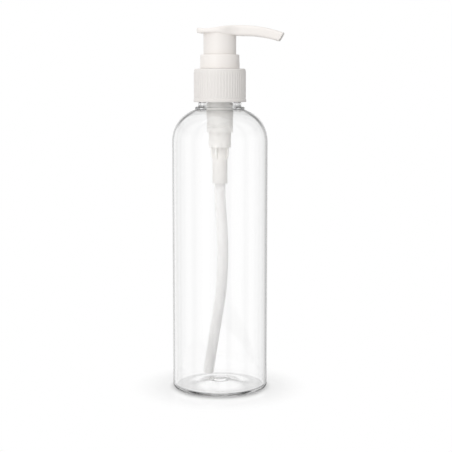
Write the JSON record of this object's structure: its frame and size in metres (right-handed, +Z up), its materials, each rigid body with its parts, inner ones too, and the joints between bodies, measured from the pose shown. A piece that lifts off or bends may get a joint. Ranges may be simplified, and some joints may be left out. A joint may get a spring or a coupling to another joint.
{
  "type": "pump oil bottle",
  "caption": "Clear round bottle with a rounded shoulder and a white screw-on lotion pump: pressing the swivelling head draws oil up a dip tube and out of a curved spout.",
  "frame": {"origin": "centre of the base, on the plane that the bottle stands on", "axes": "+Z up along the bottle's axis, +X along the spout"},
  "size_m": [0.0595, 0.051, 0.1934],
  "materials": {
    "clear_bottle": "clear, colourless, glossy blow-moulded plastic",
    "gasket_foam": "soft white sealing foam",
    "milky_housing": "milky, translucent moulded plastic",
    "polished_ball": "polished",
    "milky_tube": "milky, translucent extruded plastic",
    "white_closure": "satin moulded white",
    "white_pump": "smooth warm white moulded plastic",
    "soft_piston": "soft, waxy plastic",
    "spring_wire": "bright drawn wire"
  },
  "bodies": {
    "bottle": {"bottle": "clear_bottle"},
    "pump_body": {"housing": "milky_housing", "lock_ring": "white_pump", "gasket": "gasket_foam", "dip_tube": "milky_tube", "spring": "spring_wire"},
    "closure": {"closure": "white_closure"},
    "plunger": {"stem": "white_pump", "valve_pin": "white_pump"},
    "head": {"actuator": "white_pump"},
    "piston": {"piston": "soft_piston"},
    "inlet_ball": {"inlet_ball": "polished_ball"}
  },
  "joints": [
    {"name": "pump_lift", "type": "slide", "parent": "bottle", "child": "pump_body", "axis": [0, 0, 1], "range_m": [0, 0.00476]},
    {"name": "closure_turn", "type": "hinge", "parent": "pump_body", "child": "closure", "pos_m": [0, 0, 0.16], "axis": [0, 0, 1], "range_deg": [0, 540]},
    {"name": "pump_stroke", "type": "slide", "parent": "pump_body", "child": "plunger", "axis": [0, 0, -1], "range_m": [0, 0.0065], "stiffness_N_per_m": 600, "springref_m": -0.002, "deforming": ["spring"]},
    {"name": "head_swivel", "type": "hinge", "parent": "plunger", "child": "head", "pos_m": [0, 0, 0.18], "axis": [0, 0, 1], "continuous": true},
    {"name": "piston_slip", "type": "slide", "parent": "plunger", "child": "piston", "axis": [0, 0, 1], "range_m": [0, 0.0008]},
    {"name": "inlet_lift", "type": "slide", "parent": "pump_body", "child": "inlet_ball", "axis": [0, 0, 1], "range_m": [0, 0.0015]}
  ],
  "couplings": [
    {"joint": "closure_turn", "follows": "pump_lift", "rad_per_m": 1979}
  ]
}
